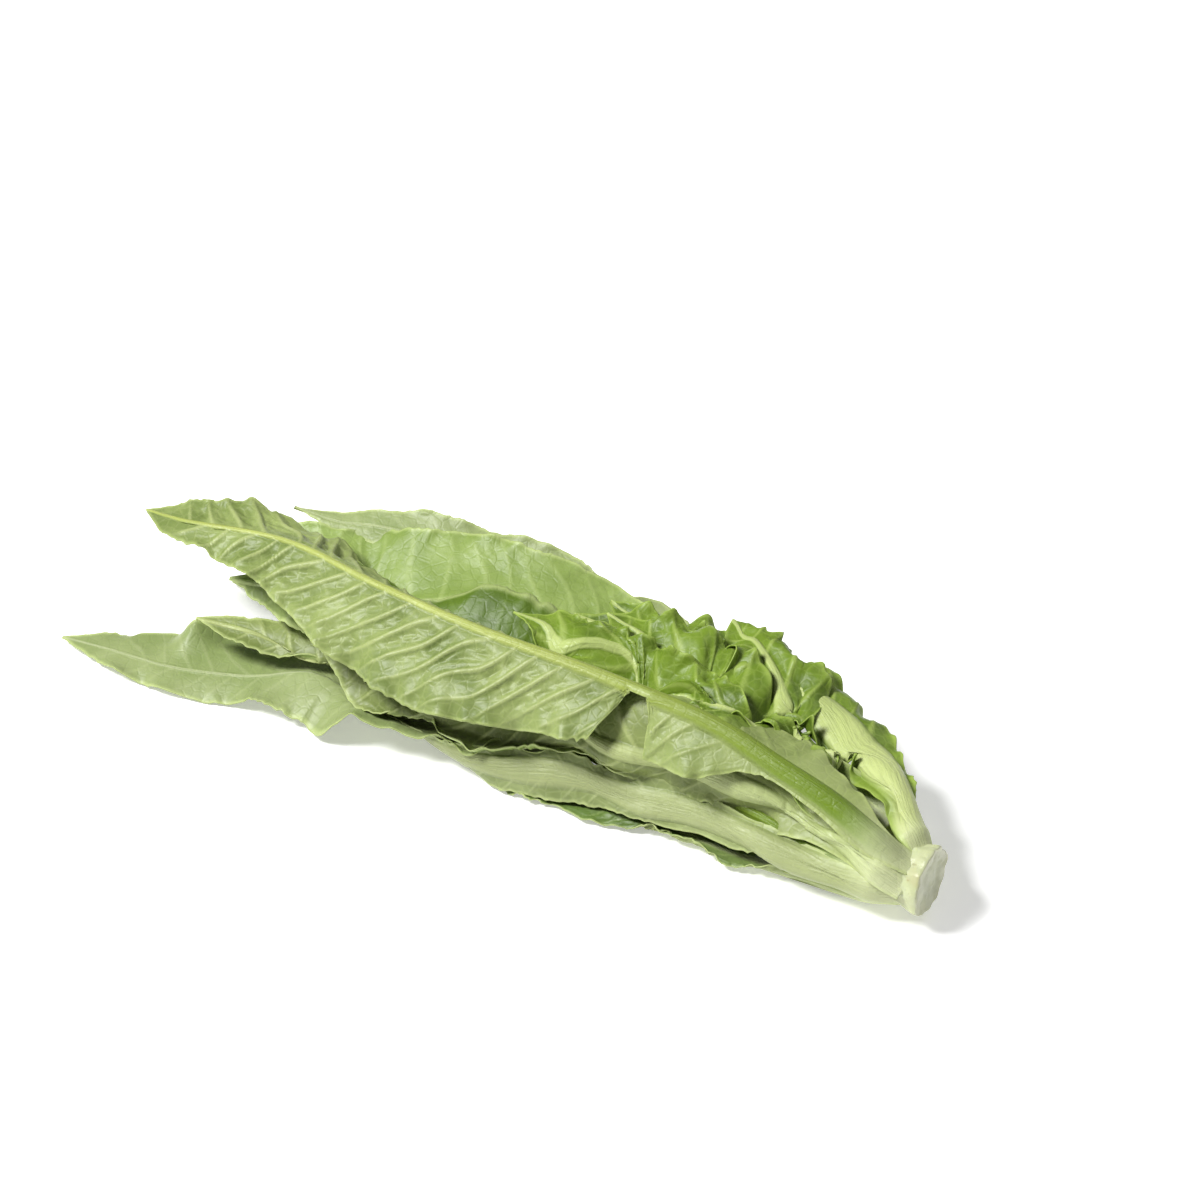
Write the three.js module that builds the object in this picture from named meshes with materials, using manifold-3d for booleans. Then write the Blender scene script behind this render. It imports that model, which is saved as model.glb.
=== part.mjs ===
// A head of long-leaved loose lettuce, lying on its side as it does on a table.
//
// Millimetres, +Z up from the surface that it lies on. The cut stem is at +X, the leaf tips are at -X,
// and the near side is -Y. The origin is in the middle of the head's footprint, on the surface.
//
// The stem core is a turned, tapering solid. The leaves lie in nested shells round the head's middle line,
// the outermost first. Each leaf is a thin closed sheet with a raised midrib: it leaves the core at its own
// seat, rises to its shell and follows that shell to its tip. Where two stalks crowd, one is trimmed.

import * as THREE from "three";
import { mergeVertices } from "three/addons/utils/BufferGeometryUtils.js";
import Module from "manifold-3d";

// ---- Driving dimensions ------------------------------------------------------------------------

const HEAD_LENGTH = 368; // cut face to the farthest leaf tip
const HEAD_WIDTH = 110; // across the leaves where the head is widest
const HEAD_HEIGHT = 56; // top of the highest leaf above the surface

const CUT_DIAMETER = 29; // stem where it was cut from its root
const APEX_DIAMETER = 9; // growing point inside the head
const CORE_LENGTH = 62;

const BLADE_THICKNESS = 1.2;
const PETIOLE_WIDTH = 17; // leaf stalk where it leaves the core
const MIDRIB_HEIGHT = 1.8; // how far the back of the stalk stands out of the blade
const MIDRIB_TIP_HEIGHT = 0.5;
const MIDRIB_WIDTH = 14;
const MIDRIB_TIP_WIDTH = 4;

const CLEARANCE = 0.35; // between any two pieces
const CORE_SEGMENTS = 24;

const DRAWN_LENGTH = 368; // the leaf tips below are drawn for a head of this length

// Rows along a leaf, and the places of its columns from the midrib (0) to a margin (1).
const LEAF_ROWS = 18;
const COLUMNS = [-1, -0.65, -0.3, 0, 0.3, 0.65, 1];

// ---- The mound of leaves -----------------------------------------------------------------------
//
// One cross-section of the head at each station: how far its middle stands above the surface and towards
// the far side, and how far the outermost shell reaches from there each way. Downwards it always reaches
// the surface. The first station is the cut face. Distances run from the cut face as a share of the head's
// length, the rest as shares of its height or width.

const STATIONS = [
  { at: 0.0, middle: 0.32, shift: 0.0, up: 0.27, near: 0.15, far: 0.15 },
  { at: 0.11, middle: 0.33, shift: 0.0, up: 0.4, near: 0.19, far: 0.28 },
  { at: 0.24, middle: 0.37, shift: 0.03, up: 0.5, near: 0.23, far: 0.42 },
  { at: 0.41, middle: 0.4, shift: 0.08, up: 0.58, near: 0.29, far: 0.5 },
  { at: 0.6, middle: 0.4, shift: 0.1, up: 0.6, near: 0.35, far: 0.55 },
  { at: 0.8, middle: 0.4, shift: 0.06, up: 0.59, near: 0.4, far: 0.54 },
  { at: 1.0, middle: 0.38, shift: -0.02, up: 0.42, near: 0.38, far: 0.48 },
];

// Shells as shares of the outermost one, from the outer leaves to the heart.
const OUTER = 1.0;
const SECOND = 0.82;
const THIRD = 0.64;
const FOURTH = 0.47;
const HEART = 0.32;
const INNERMOST = 0.2;

// ---- Leaves ------------------------------------------------------------------------------------
//
// seat     [distance from the cut face, angle round the core: 0 is up, 90 is the near side]
// turn     the midrib's angle round the head, from stalk to tip
// shell    the leaf's shell, from stalk to tip
// tip      distance from the cut face to the tip
// widths   half-widths where the blade is widest: [towards higher angles, towards lower ones]

const LEAVES = [
  {
    name: "top_leaf",
    seat: [10, 6],
    turn: [6, 2, -2, 0, 6, 8],
    shell: [OUTER],
    tip: 352,
    widths: [33, 28],
    colour: "#b9cf86",
  },
  {
    name: "near_lower_leaf",
    seat: [3, 98],
    turn: [98, 98, 100, 112, 130],
    shell: [OUTER],
    tip: 250,
    widths: [12, 14],
    colour: "#b4c68c",
  },
  {
    name: "bottom_leaf",
    seat: [3, 176],
    turn: [172, 165, 165, 175],
    shell: [OUTER],
    tip: 262,
    widths: [24, 22],
    colour: "#4f6f33",
  },
  {
    name: "far_lower_leaf",
    seat: [3, -100],
    turn: [-100, -98, -112, -146],
    shell: [OUTER],
    tip: 312,
    widths: [16, 22],
    colour: "#7d9c4d",
  },
  {
    name: "far_petiole_leaf",
    seat: [7, -46],
    turn: [-46, -56, -50, -42, -40],
    shell: [OUTER],
    tip: 215,
    widths: [10, 18],
    colour: "#a9c46c",
  },
  {
    name: "near_upper_leaf",
    seat: [10, 62],
    turn: [62, 62, 60, 58, 48],
    shell: [OUTER, SECOND, SECOND],
    tip: 300,
    widths: [20, 22],
    colour: "#9fb877",
  },
  {
    name: "ground_leaf",
    seat: [14, 132],
    turn: [132, 128, 122, 136, 148],
    shell: [SECOND, SECOND, SECOND, OUTER, OUTER],
    tip: 367,
    widths: [20, 20],
    colour: "#8fae5e",
  },
  {
    name: "far_ground_leaf",
    seat: [12, -142],
    turn: [-142, -140, -140, -142],
    shell: [SECOND],
    tip: 330,
    widths: [22, 24],
    colour: "#5f8040",
  },
  {
    name: "far_veined_leaf",
    seat: [15, -84],
    turn: [-84, -84, -82, -80],
    shell: [SECOND],
    tip: 320,
    widths: [24, 24],
    colour: "#93b25f",
  },
  {
    name: "far_pale_leaf",
    seat: [22, -112],
    turn: [-112, -108, -106, -104],
    shell: [THIRD],
    tip: 306,
    widths: [18, 20],
    colour: "#a6bd7b",
  },
  {
    name: "shaded_leaf",
    seat: [24, 36],
    turn: [36, 50, 66, 82, 92],
    shell: [THIRD],
    tip: 315,
    widths: [20, 20],
    colour: "#7f9a5d",
  },
  {
    name: "inner_lower_leaf",
    seat: [24, 172],
    turn: [172, 172, 174, 176],
    shell: [THIRD],
    tip: 280,
    widths: [22, 22],
    colour: "#7f9f4a",
  },
  {
    name: "far_smooth_leaf",
    seat: [24, -44],
    turn: [-44, -48, -48, -44],
    shell: [THIRD],
    tip: 288,
    widths: [20, 20],
    colour: "#9dba68",
  },
  {
    name: "under_tip_leaf",
    seat: [36, 4],
    turn: [4, 4, 8, 10],
    shell: [FOURTH],
    tip: 316,
    widths: [17, 17],
    colour: "#86a35b",
  },
  {
    name: "inner_near_leaf",
    seat: [38, 84],
    turn: [84, 90, 100, 110],
    shell: [FOURTH],
    tip: 262,
    widths: [14, 14],
    colour: "#9aba5c",
  },
  {
    name: "inner_far_leaf",
    seat: [40, -96],
    turn: [-96, -92, -90, -90],
    shell: [FOURTH],
    tip: 258,
    widths: [17, 17],
    colour: "#9aba5c",
  },
  {
    name: "heart_leaf_1",
    seat: [46, -50],
    turn: [-50, -48, -46, -46],
    shell: [HEART],
    tip: 190,
    widths: [8, 9],
    colour: "#9cc03f",
  },
  {
    name: "heart_leaf_2",
    seat: [50, -150],
    turn: [-150, -146, -142, -140],
    shell: [HEART],
    tip: 170,
    widths: [8, 8],
    colour: "#93b83a",
  },
  {
    name: "heart_leaf_3",
    seat: [50, 70],
    turn: [70, 72, 74, 80],
    shell: [HEART],
    tip: 205,
    widths: [8, 8],
    colour: "#a3c548",
  },
  {
    name: "heart_leaf_4",
    seat: [55, 0],
    turn: [0, 0, 0, 0],
    shell: [INNERMOST],
    tip: 180,
    widths: [6, 6],
    colour: "#8bb036",
  },
];

// ---- Stem core ---------------------------------------------------------------------------------

const CUT_RADIUS = CUT_DIAMETER / 2;
const APEX_RADIUS = APEX_DIAMETER / 2;
const CUT_EDGE_ROUND = 2;
const CORE_DRAW_IN = 1.2; // 1 is a cone, more stays thick for longer
const APEX_POINT = 0.6; // how far the apex stands out of the core's end, as a share of its radius
const CORE_STEPS = 8;
const AXIS_HEIGHT = CUT_RADIUS + CLEARANCE + BLADE_THICKNESS + MIDRIB_HEIGHT; // on the lowest stalk

// The core's radius at a distance from the cut face: drawing in faster and faster towards the apex.
function coreRadius(distance) {
  const share = THREE.MathUtils.clamp(distance / CORE_LENGTH, 0, 1);
  return THREE.MathUtils.lerp(CUT_RADIUS, APEX_RADIUS, share ** CORE_DRAW_IN);
}

function coreProfile() {
  const points = [new THREE.Vector2(0, 0), new THREE.Vector2(CUT_RADIUS - CUT_EDGE_ROUND, 0)];
  for (let step = 0; step <= CORE_STEPS; step += 1) {
    const distance = THREE.MathUtils.lerp(CUT_EDGE_ROUND, CORE_LENGTH, step / CORE_STEPS);
    points.push(new THREE.Vector2(coreRadius(distance), distance));
  }
  points.push(new THREE.Vector2(0, CORE_LENGTH + APEX_RADIUS * APEX_POINT));
  return points;
}

function coreGeometry() {
  const geometry = new THREE.LatheGeometry(coreProfile(), CORE_SEGMENTS);
  geometry.rotateZ(Math.PI / 2); // the turning axis, +Y, now runs from the cut face towards -X
  geometry.translate(0, 0, AXIS_HEIGHT);
  return geometry;
}

// ---- The shells --------------------------------------------------------------------------------

// A value read from an evenly spaced list, with straight steps between its entries.
function readAlong(list, share) {
  if (list.length === 1) {
    return list[0];
  }
  const place = THREE.MathUtils.clamp(share, 0, 1) * (list.length - 1);
  const index = Math.min(Math.floor(place), list.length - 2);
  return THREE.MathUtils.lerp(list[index], list[index + 1], place - index);
}

// The head's cross-section at a distance from the cut face, in millimetres.
function sectionAt(distance) {
  const share = THREE.MathUtils.clamp(distance / HEAD_LENGTH, 0, 1);
  const next = Math.max(1, STATIONS.findIndex((station) => station.at >= share));
  const [a, b] = [STATIONS[next - 1], STATIONS[next]];
  const step = THREE.MathUtils.smoothstep(share, a.at, b.at);
  const read = (key, size) => THREE.MathUtils.lerp(a[key], b[key], step) * size;
  const middle = read("middle", HEAD_HEIGHT);
  return {
    middle,
    shift: read("shift", HEAD_WIDTH),
    up: read("up", HEAD_HEIGHT),
    down: middle - BLADE_THICKNESS / 2,
    near: read("near", HEAD_WIDTH),
    far: read("far", HEAD_WIDTH),
  };
}

const UNDERSIDE_FLATNESS = 2.6; // 1 is a round underside, more is flatter

function shellPoint(distance, shell, turn) {
  const section = sectionAt(distance);
  const sideways = Math.sin(turn);
  const upwards = Math.cos(turn);
  const below = 1 - (1 - Math.max(0, -upwards)) ** UNDERSIDE_FLATNESS;
  return new THREE.Vector3(
    -distance,
    section.shift - shell * sideways * (sideways > 0 ? section.near : section.far),
    section.middle + shell * (upwards > 0 ? upwards * section.up : -below * section.down),
  );
}

function corePoint(distance, turn, lift) {
  const radius = coreRadius(distance) + lift;
  return new THREE.Vector3(-distance, -radius * Math.sin(turn), AXIS_HEIGHT + radius * Math.cos(turn));
}

// ---- Leaf sheets -------------------------------------------------------------------------------

const RISE = 16; // distance over which a stalk leaves the core for its shell
const TIP_HALF_WIDTH = 1.5;

// A leaf's outline, as shares of its length.
const BLADE_START = 0.08;
const BLADE_FULL = 0.5;
const TAPER_START = 0.55;
const TAPER_ROUNDNESS = 0.75; // 0.5 is a round tip, 1 is a pointed one

// Half-width at a share of the leaf's length: a winged stalk, the widest part, then the pointed tip.
function halfWidth(widest, share) {
  const stalk = PETIOLE_WIDTH / 2;
  const opening = THREE.MathUtils.smoothstep(share, BLADE_START, BLADE_FULL);
  const past = Math.max(0, (share - TAPER_START) / (1 - TAPER_START));
  const pointed = (1 - past * past) ** TAPER_ROUNDNESS;
  return Math.max(THREE.MathUtils.lerp(stalk, widest, opening) * pointed, TIP_HALF_WIDTH);
}

// How far the midrib stands out of the back of the leaf, at a distance from its middle.
function midribRise(share, offset) {
  const height = THREE.MathUtils.lerp(MIDRIB_HEIGHT, MIDRIB_TIP_HEIGHT, share);
  const half = THREE.MathUtils.lerp(MIDRIB_WIDTH, MIDRIB_TIP_WIDTH, share) / 2;
  return height * Math.max(0, 1 - (offset / half) ** 2);
}

// A point of the leaf's middle surface, at an angle round the head.
function leafPoint(leaf, share, turn) {
  const [seat] = leaf.seat;
  const distance = THREE.MathUtils.lerp(seat, leaf.tip * (HEAD_LENGTH / DRAWN_LENGTH), share);
  const risen = THREE.MathUtils.smoothstep(distance, seat, seat + RISE);
  const lift = CLEARANCE + BLADE_THICKNESS / 2;
  const onShell = shellPoint(distance, readAlong(leaf.shell, share), turn);
  return corePoint(distance, turn, lift).lerp(onShell, risen);
}

// The angle reached by going a distance round the leaf's own section, in small steps.
function turnAt(leaf, share, offset) {
  const middle = THREE.MathUtils.degToRad(readAlong([leaf.seat[1], ...leaf.turn], share));
  const steps = 6;
  const probe = 0.02;
  let turn = middle;
  for (let step = 0; step < steps; step += 1) {
    const perRadian =
      leafPoint(leaf, share, turn).distanceTo(leafPoint(leaf, share, turn + probe)) / probe;
    turn += offset / steps / perRadian;
  }
  return turn;
}

const SURFACE = 0; // what the head lies on: a leaf is pressed flat where it meets it

// The middle surface of a leaf: rows of points, each with how far the sheet reaches on its two faces.
function leafSheet(leaf) {
  const rows = [];
  for (let row = 0; row <= LEAF_ROWS; row += 1) {
    const share = row / LEAF_ROWS;
    rows.push(
      COLUMNS.map((place) => {
        const offset = place * halfWidth(leaf.widths[place > 0 ? 0 : 1], share);
        return {
          point: leafPoint(leaf, share, turnAt(leaf, share, offset)),
          outer: BLADE_THICKNESS / 2 + midribRise(share, offset),
          inner: BLADE_THICKNESS / 2,
        };
      }),
    );
  }
  return rows;
}

// The direction of the leaf's back at each point, worked out from its neighbours in the sheet.
function sheetNormals(rows) {
  return rows.map((cells, i) =>
    cells.map((_, j) => {
      const lower = rows[Math.max(i - 1, 0)][j].point;
      const upper = rows[Math.min(i + 1, rows.length - 1)][j].point;
      const left = cells[Math.max(j - 1, 0)].point;
      const right = cells[Math.min(j + 1, cells.length - 1)].point;
      const onward = upper.clone().sub(lower);
      const sideways = right.clone().sub(left);
      return onward.cross(sideways).normalize();
    }),
  );
}

// ---- Solids ------------------------------------------------------------------------------------

const wasm = await Module();
wasm.setup();

// A closed skin round a sheet, standing off it by an extra margin on both faces and past its edges.
function sheetGeometry(sheet, margin) {
  const normals = sheetNormals(sheet);
  const columns = sheet[0].length;
  const lastRow = sheet.length - 1;
  const positions = [];
  const grown = (i, j) => {
    const point = sheet[i][j].point.clone();
    const inRow = THREE.MathUtils.clamp(i, 1, lastRow - 1);
    const inColumn = THREE.MathUtils.clamp(j, 1, columns - 2);
    const outward = point.clone().sub(sheet[inRow][inColumn].point);
    return point.addScaledVector(outward.normalize(), margin);
  };
  for (const face of [1, -1]) {
    sheet.forEach((cells, i) =>
      cells.forEach((cell, j) => {
        const depth = (face > 0 ? cell.outer : cell.inner) + margin;
        const point = grown(i, j).addScaledVector(normals[i][j], face * depth);
        positions.push(point.x, point.y, Math.max(point.z, SURFACE));
      }),
    );
  }
  const index = [];
  const at = (face, i, j) => face * sheet.length * columns + i * columns + j;
  const quad = (a, b, c, d) => index.push(a, b, c, a, c, d);
  for (let i = 0; i < lastRow; i += 1) {
    for (let j = 0; j < columns - 1; j += 1) {
      quad(at(0, i, j), at(0, i + 1, j), at(0, i + 1, j + 1), at(0, i, j + 1));
      quad(at(1, i, j), at(1, i, j + 1), at(1, i + 1, j + 1), at(1, i + 1, j));
    }
    const end = columns - 1;
    quad(at(0, i, 0), at(1, i, 0), at(1, i + 1, 0), at(0, i + 1, 0));
    quad(at(0, i, end), at(0, i + 1, end), at(1, i + 1, end), at(1, i, end));
  }
  for (let j = 0; j < columns - 1; j += 1) {
    quad(at(0, 0, j), at(0, 0, j + 1), at(1, 0, j + 1), at(1, 0, j));
    quad(at(0, lastRow, j), at(1, lastRow, j), at(1, lastRow, j + 1), at(0, lastRow, j + 1));
  }
  const geometry = new THREE.BufferGeometry();
  geometry.setAttribute("position", new THREE.Float32BufferAttribute(positions, 3));
  geometry.setIndex(index);
  return geometry;
}

const WELD = 1e-3; // corners closer than this are one corner

function solidFrom(geometry) {
  const bare = new THREE.BufferGeometry();
  bare.setAttribute("position", geometry.getAttribute("position"));
  bare.setIndex(geometry.index);
  const merged = mergeVertices(bare, WELD);
  return new wasm.Manifold(
    new wasm.Mesh({
      numProp: 3,
      vertProperties: merged.attributes.position.array,
      triVerts: new Uint32Array(merged.index.array),
    }),
  );
}

function geometryFrom(solid) {
  const { vertProperties, triVerts } = solid.getMesh();
  const geometry = new THREE.BufferGeometry();
  geometry.setAttribute("position", new THREE.Float32BufferAttribute(vertProperties, 3));
  geometry.setIndex([...triVerts]);
  geometry.computeVertexNormals();
  return geometry;
}

// A trimmed stalk can leave a sliver behind: the leaf is the largest piece.
function largestPiece(solid) {
  return solid.decompose().reduce((best, piece) => (piece.volume() > best.volume() ? piece : best));
}

// Cuts every sheet back from the core and from the leaves placed before it.
function trimmedSolids(sheets, core) {
  const keepOut = [core];
  return sheets.map((sheet) => {
    const whole = solidFrom(sheetGeometry(sheet, 0));
    const room = keepOut.reduce((left, taken) => left.subtract(taken), whole);
    keepOut.push(solidFrom(sheetGeometry(sheet, CLEARANCE)));
    return largestPiece(room);
  });
}

// ---- Assembly ----------------------------------------------------------------------------------

const STEM_COLOUR = "#dfe3c6";

function plantMaterial(colour) {
  return new THREE.MeshStandardMaterial({ color: colour, roughness: 0.6, metalness: 0 });
}

function buildHead() {
  const head = new THREE.Group();
  const core = new THREE.Mesh(coreGeometry(), plantMaterial(STEM_COLOUR));
  core.name = "stem_core";
  head.add(core);

  const sheets = LEAVES.map(leafSheet);
  trimmedSolids(sheets, solidFrom(core.geometry)).forEach((solid, number) => {
    const leaf = LEAVES[number];
    const mesh = new THREE.Mesh(geometryFrom(solid), plantMaterial(leaf.colour));
    mesh.name = leaf.name;
    head.add(mesh);
  });

  const box = new THREE.Box3().setFromObject(head);
  head.position.set(-(box.min.x + box.max.x) / 2, -(box.min.y + box.max.y) / 2, -box.min.z);
  return head;
}

const root = new THREE.Group();
root.add(buildHead());

export default root;
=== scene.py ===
"""A head of long-leaved loose lettuce, lying on its side on a pale table.

Each leaf is a grid shaped along its midrib, given its veins, blisters and ruffles, and thickened into a
closed blade with a raised midrib on its back. The leaves leave a short cut stem. Lengths in the plans below
are millimetres, as [distance from the cut face, towards the far side, up from the table].
"""

from __future__ import annotations

import logging
import math
from dataclasses import dataclass, field
from enum import Enum
from typing import Sequence

import bpy
import numpy as np
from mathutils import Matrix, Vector
from mathutils.bvhtree import BVHTree

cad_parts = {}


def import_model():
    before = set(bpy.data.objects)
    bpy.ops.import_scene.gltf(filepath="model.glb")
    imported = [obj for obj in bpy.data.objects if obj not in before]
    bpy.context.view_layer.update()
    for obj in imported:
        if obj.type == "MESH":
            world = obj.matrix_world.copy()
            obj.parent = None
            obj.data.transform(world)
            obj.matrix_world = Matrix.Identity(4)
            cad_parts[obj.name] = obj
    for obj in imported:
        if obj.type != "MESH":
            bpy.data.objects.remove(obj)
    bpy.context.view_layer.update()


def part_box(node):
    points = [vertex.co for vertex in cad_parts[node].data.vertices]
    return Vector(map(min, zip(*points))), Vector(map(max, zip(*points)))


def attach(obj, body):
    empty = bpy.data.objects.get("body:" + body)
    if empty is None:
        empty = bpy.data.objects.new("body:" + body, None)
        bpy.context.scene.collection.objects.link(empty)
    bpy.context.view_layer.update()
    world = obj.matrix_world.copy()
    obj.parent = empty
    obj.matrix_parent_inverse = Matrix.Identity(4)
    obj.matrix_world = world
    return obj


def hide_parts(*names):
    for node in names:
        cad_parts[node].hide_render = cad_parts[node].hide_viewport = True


LOG = logging.getLogger("lettuce")
MM = 0.001
BODY = "root"
DRESS = "dress"  # the vertex colour that carries rib, vein, rim and distance along the leaf
FLAT_MAP = "leaf"  # the UV map that lays a leaf flat

Triple = tuple[float, float, float]
Table = tuple[float, ...]


# ---- Shader building ----------------------------------------------------------------------------


class Shader:
    """A material's node tree, with one method that adds any node."""

    def __init__(self, name: str) -> None:
        """Starts an empty material.

        Args:
            name: the material's name.
        """
        self.material = bpy.data.materials.new(name)
        self.material.use_nodes = True
        self.tree = self.material.node_tree
        self.tree.nodes.clear()

    def node(self, kind: str, settings: dict | None = None, **sockets: object) -> bpy.types.Node:
        """Adds a node.

        Args:
            kind: the node's type, without its ShaderNode prefix.
            settings: attributes of the node, set before its sockets.
            sockets: values or links by socket name, with underscores for spaces.

        Returns:
            The new node.
        """
        made = self.tree.nodes.new(f"ShaderNode{kind}")
        for key, value in (settings or {}).items():
            setattr(made, key, value)
        for key, value in sockets.items():
            index = int(key[1:]) if key[0] == "i" and key[1:].isdigit() else None
            socket = made.inputs[index] if index is not None else made.inputs[key.replace("_", " ")]
            self.feed(socket, value)
        return made

    def feed(self, socket: bpy.types.NodeSocket, value: object) -> None:
        """Sets a socket, or links it where the value comes from another node.

        Args:
            socket: the socket to fill.
            value: a number, a colour, a Signal or an output socket.
        """
        if isinstance(value, Signal):
            value = value.output
        if isinstance(value, bpy.types.NodeSocket):
            self.tree.links.new(value, socket)
        elif isinstance(value, tuple) and len(value) == 3 and socket.type == "RGBA":
            socket.default_value = (*value, 1.0)
        else:
            socket.default_value = value

    def surface(self, **sockets: object) -> bpy.types.Material:
        """Ends the tree in one principled surface.

        Args:
            sockets: its values or links by socket name, with underscores for spaces.

        Returns:
            The finished material.
        """
        shade = self.node("BsdfPrincipled", None, **sockets)
        self.feed(self.node("OutputMaterial").inputs["Surface"], shade.outputs[0])
        return self.material

    def dressing(self) -> tuple[Signal, ...]:
        """The four dressing layers, as the mesh's points carry them."""
        layers = self.node("Attribute", {"attribute_name": DRESS})
        split = self.node("SeparateColor", None, Color=layers.outputs["Color"])
        return (*(self.signal(split.outputs[i]) for i in range(3)), self.signal(layers.outputs["Alpha"]))

    def signal(self, output: bpy.types.NodeSocket) -> Signal:
        """Wraps an output for arithmetic."""
        return Signal(self, output)

    def mix(self, factor: object, first: object, second: object) -> bpy.types.NodeSocket:
        """Mixes two colours.

        Args:
            factor: how much of the second colour shows.
            first: the colour at 0.
            second: the colour at 1.

        Returns:
            The mixed colour's output.
        """
        made = self.node("Mix", {"data_type": "RGBA"}, i0=factor, i6=first, i7=second)
        return made.outputs[2]

    def noise(self, vector: object, scale: float, detail: float = 3.0, rough: float = 0.55) -> Signal:
        """A noise pattern, from 0 to 1.

        Args:
            vector: the coordinates that it reads.
            scale: its scale.
            detail: how many finer layers it has.
            rough: how strong the finer layers are.

        Returns:
            The pattern's value.
        """
        made = self.node("TexNoise", None, Vector=vector, Scale=scale, Detail=detail, Roughness=rough)
        return self.signal(made.outputs[0])

    def cells(self, vector: object, scale: float) -> Signal:
        """Distance to the walls of a net of cells.

        Args:
            vector: the coordinates that it reads.
            scale: the net's scale.

        Returns:
            Zero on a wall, growing inwards.
        """
        made = self.node("TexVoronoi", {"feature": "DISTANCE_TO_EDGE"}, Vector=vector, Scale=scale)
        return self.signal(made.outputs[0])

    def ramp(self, value: Signal, low: float, high: float) -> Signal:
        """Brings a value from low..high to 0..1 with soft ends.

        Args:
            value: the value to read.
            low: where the result is 0.
            high: where the result is 1.

        Returns:
            The soft step.
        """
        settings = {"interpolation_type": "SMOOTHSTEP"}
        made = self.node("MapRange", settings, i0=value, i1=low, i2=high, i3=0.0, i4=1.0)
        return self.signal(made.outputs[0])


@dataclass
class Signal:
    """A number that varies over a surface, with Python arithmetic."""

    shader: Shader
    output: bpy.types.NodeSocket

    def _math(self, operation: str, first: object, second: object) -> Signal:
        """Adds one Math node."""
        made = self.shader.node("Math", {"operation": operation}, i0=first, i1=second)
        return Signal(self.shader, made.outputs[0])

    def __add__(self, other: object) -> Signal:
        """This plus other."""
        return self._math("ADD", self, other)

    __radd__ = __add__

    def __mul__(self, other: object) -> Signal:
        """This times other."""
        return self._math("MULTIPLY", self, other)

    __rmul__ = __mul__

    def __sub__(self, other: object) -> Signal:
        """This less other."""
        return self._math("SUBTRACT", self, other)

    def __rsub__(self, other: object) -> Signal:
        """Other less this."""
        return self._math("SUBTRACT", other, self)


# ---- Finishes -----------------------------------------------------------------------------------


class Skin(Enum):
    """The three surfaces of a leaf, in the order of its material slots."""

    FACE = 0
    BACK = 1
    RIM = 2


MOTTLE_SCALE = 38.0
GRAIN_SCALE = 420.0
NET_SCALE = 230.0
STRING_SCALE = 6.0
STRING_STRETCH = (1.2, 26.0, 1.0)
YOUNG_REACH = 0.5  # share of the leaf over which the stalk's yellow fades
STALK_REACH = 0.62
BASE_REACH = 0.1


@dataclass(frozen=True)
class LeafFinish:
    """Colours of one kind of leaf, and how glossy and deep its surface is."""

    name: str
    slot: str
    blade: Triple
    deep: Triple
    vein: Triple
    rib: Triple
    stalk: Triple = (0.46, 0.53, 0.24)
    # Yellow-green of the young stalk end, also used as a painted highlight along the margins and edge
    # faces.
    rim: Triple = (0.50, 0.58, 0.24)
    base: Triple = (0.58, 0.62, 0.36)
    roughness: float = 0.44
    vein_show: float = 0.6
    net_show: float = 0.16

    def material(self, skin: Skin) -> bpy.types.Material:
        """Builds the material of one side of the leaf.

        Args:
            skin: which surface it covers.

        Returns:
            The material.
        """
        shader = Shader(f"{self.name}_{skin.name.lower()}")
        place = shader.node("TexCoord").outputs["Object"]
        rib, vein, rim, along = shader.dressing()

        mottle = shader.ramp(shader.noise(place, MOTTLE_SCALE, 4.0, 0.6), 0.36, 0.68)
        grain = shader.noise(place, GRAIN_SCALE, 2.0)
        net = shader.ramp(shader.cells(place, NET_SCALE), 0.0, 0.14)

        colour = shader.mix(mottle * 0.8, self.blade, self.deep)
        net_tint = self.vein if skin is Skin.BACK else self.deep
        colour = shader.mix((1.0 - net) * self.net_show, colour, net_tint)
        colour = shader.mix(shader.ramp(vein, 0.15, 0.95) * self.vein_show, colour, self.vein)
        young = (1.0 - shader.ramp(along, 0.02, YOUNG_REACH)) * 0.25
        colour = shader.mix(young, colour, self.rim)
        streak = self._streaks(shader)
        rib_colour = shader.mix(shader.ramp(along, 0.0, STALK_REACH), self.stalk, self.rib)
        rib_colour = shader.mix(streak * 0.16, rib_colour, self.deep)
        low, high = (0.05, 0.5) if skin is Skin.BACK else (0.35, 0.95)
        colour = shader.mix(shader.ramp(rib, low, high), colour, rib_colour)
        base_pale = (1.0 - shader.ramp(along, 0.0, BASE_REACH)) * 0.85
        colour = shader.mix(base_pale, colour, self.base)
        # Painted highlight: the thin edge faces, and a band along each margin, are lightened towards the
        # rim colour.
        if skin is Skin.RIM:
            colour = shader.mix(0.6, colour, self.rim)
        else:
            colour = shader.mix(rim * 0.5, colour, self.rim)

        height = net * 0.12 + grain * 0.3 + streak * rib * 0.4
        bump = shader.node("Bump", None, Strength=0.55, Distance=0.0009, Height=height)
        rough = self.roughness + (grain - 0.5) * 0.14 - rib * 0.06
        return shader.surface(
            Base_Color=colour,
            Roughness=rough,
            Normal=bump.outputs[0],
            Subsurface_Weight=0.08,
            Subsurface_Radius=(0.8, 1.0, 0.3),
            Subsurface_Scale=0.0015,
            Specular_IOR_Level=0.3,
        )

    @staticmethod
    def _streaks(shader: Shader) -> Signal:
        """Fine lengthwise strings of the midrib, read from the leaf's own UV map."""
        flat = shader.node("UVMap", {"uv_map": FLAT_MAP}).outputs[0]
        drawn = shader.node("Mapping", None, Vector=flat, Scale=STRING_STRETCH).outputs[0]
        return shader.ramp(shader.noise(drawn, STRING_SCALE, 3.0, 0.6), 0.35, 0.7)


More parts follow.
